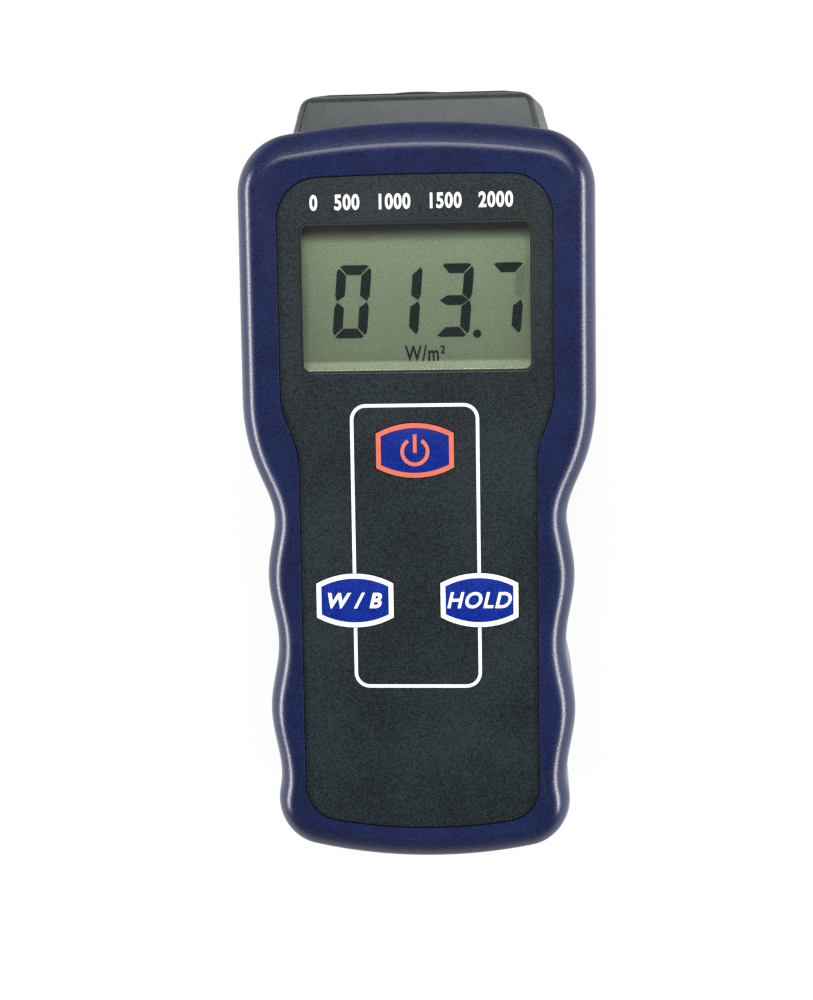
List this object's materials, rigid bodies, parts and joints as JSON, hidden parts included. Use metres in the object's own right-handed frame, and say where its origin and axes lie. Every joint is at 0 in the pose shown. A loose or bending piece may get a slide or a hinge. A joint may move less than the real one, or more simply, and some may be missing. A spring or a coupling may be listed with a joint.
{
  "type": "solar power meter",
  "caption": "Handheld solar power meter: two-part wavy-grip case, display window, film keys, white light diffuser in the end and a sliding battery cover.",
  "frame": {"origin": "middle of the meter's outline, on the surface that its back rests on", "axes": "+Z out of the display, +Y towards the sensor head, +X to the right of the display"},
  "size_m": [0.06, 0.1312, 0.038],
  "materials": {
    "case_front": "fine texture",
    "case_back": "fine texture",
    "head_plastic": "fine texture",
    "ring_plastic": "smooth",
    "opal_plastic": "satin",
    "overlay_film": "fine grain",
    "white_print": "printed",
    "red_print": "printed",
    "blue_film": "printed",
    "clear_plastic": "polished",
    "display_glass": "polished",
    "display_rear": "satin",
    "display_digits": "flat",
    "display_faint": "flat",
    "frame_plastic": "smooth",
    "strip_rubber": "smooth",
    "board": "solder mask",
    "chip_black": "moulded",
    "can_metal": "drawn",
    "capacitor_sleeve": "sleeved",
    "trimmer_blue": "moulded",
    "screw_steel": "zinc plated",
    "switch_black": "moulded",
    "plunger_white": "moulded",
    "photodiode_can": "gold flashed",
    "lead_red": "sleeved",
    "lead_black": "sleeved",
    "battery_jacket": "printed",
    "terminal_metal": "nickel plated",
    "foam": "foam"
  },
  "bodies": {
    "meter": {"front_shell": "case_front", "rear_shell": "case_back", "case_screws": "screw_steel", "front_overlay": "overlay_film", "printed_frame": "white_print", "display_window": "clear_plastic", "power_switch": "switch_black", "unit_switch": "switch_black", "hold_switch": "switch_black", "lcd_frame": "frame_plastic", "lcd_rear_glass": "display_rear", "lcd_digits": "display_digits", "lcd_faint_segment": "display_faint", "lcd_front_glass": "display_glass", "zebra_strips": "strip_rubber", "main_board": "board", "board_screws": "screw_steel", "microcontroller": "chip_black", "amplifier_chip": "chip_black", "crystal": "can_metal", "capacitors": "capacitor_sleeve", "resistors": "chip_black", "calibration_trimmer": "trimmer_blue", "sensor_head": "head_plastic", "sensor_ring": "ring_plastic", "diffuser": "opal_plastic", "photodiode": "photodiode_can", "sensor_board": "board", "sensor_screws": "screw_steel", "sensor_leads": "lead_red", "battery": "battery_jacket", "battery_terminals": "terminal_metal", "battery_snap": "switch_black", "battery_leads": "lead_black", "battery_pad": "foam"},
    "power_button": {"power_key": "blue_film", "power_key_edge": "red_print", "power_key_symbol": "red_print", "power_plunger": "plunger_white", "power_switch_stem": "plunger_white"},
    "unit_button": {"unit_key": "blue_film", "unit_key_edge": "white_print", "unit_plunger": "plunger_white", "unit_switch_stem": "plunger_white"},
    "hold_button": {"hold_key": "blue_film", "hold_key_edge": "white_print", "hold_plunger": "plunger_white", "hold_switch_stem": "plunger_white"},
    "battery_door": {"battery_cover": "case_back"}
  },
  "joints": [
    {"name": "power_press", "type": "slide", "parent": "meter", "child": "power_button", "axis": [0, 0, -1], "range_m": [0, 0.0004], "stiffness_N_per_m": 3000},
    {"name": "unit_press", "type": "slide", "parent": "meter", "child": "unit_button", "axis": [0, 0, -1], "range_m": [0, 0.0004], "stiffness_N_per_m": 3000},
    {"name": "hold_press", "type": "slide", "parent": "meter", "child": "hold_button", "axis": [0, 0, -1], "range_m": [0, 0.0004], "stiffness_N_per_m": 3000},
    {"name": "battery_cover_slide", "type": "slide", "parent": "meter", "child": "battery_door", "axis": [0, -1, 0], "range_m": [0, 0.054]}
  ]
}
